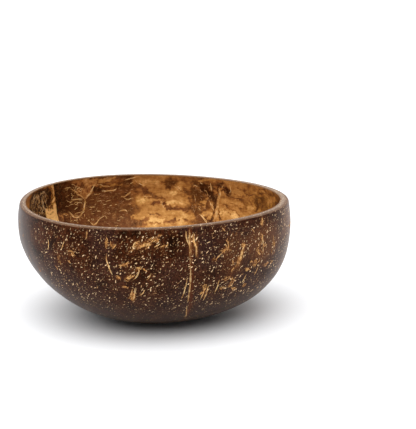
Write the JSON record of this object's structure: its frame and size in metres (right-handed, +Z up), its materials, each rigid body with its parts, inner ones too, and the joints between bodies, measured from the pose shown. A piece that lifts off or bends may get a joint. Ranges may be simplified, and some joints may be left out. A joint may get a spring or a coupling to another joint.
{
  "type": "coconut shell bowl",
  "caption": "Round bowl cut from a coconut's hard shell, with a flat rim, fibre strands in its seams, patches of inner skin and a small sanded foot.",
  "frame": {"origin": "centre of the sanded foot, on the surface that the bowl stands on", "axes": "+Z up, through the open mouth; -Y towards the viewer of the picture; +X to that viewer's right"},
  "size_m": [0.1422, 0.1418, 0.06],
  "materials": {
    "hard_shell": "sanded and polished coconut shell, dark brown with cream fibre ends, satin oil finish",
    "husk_fibre": "dry golden husk fibre, matt",
    "inner_skin": "thin golden inner skin, satin",
    "inner_vein": "tan raised vein, satin"
  },
  "bodies": {
    "root": {"shell": "hard_shell", "front_seam_fibres": "husk_fibre", "right_seam_fibres": "husk_fibre", "left_seam_fibres": "husk_fibre", "front_wall_fibres": "husk_fibre", "back_wall_fibres": "husk_fibre", "left_inner_skin": "inner_skin", "middle_inner_skin": "inner_skin", "right_inner_skin": "inner_skin", "front_inner_skin": "inner_skin", "left_inner_veins": "inner_vein", "right_inner_veins": "inner_vein"}
  },
  "joints": []
}
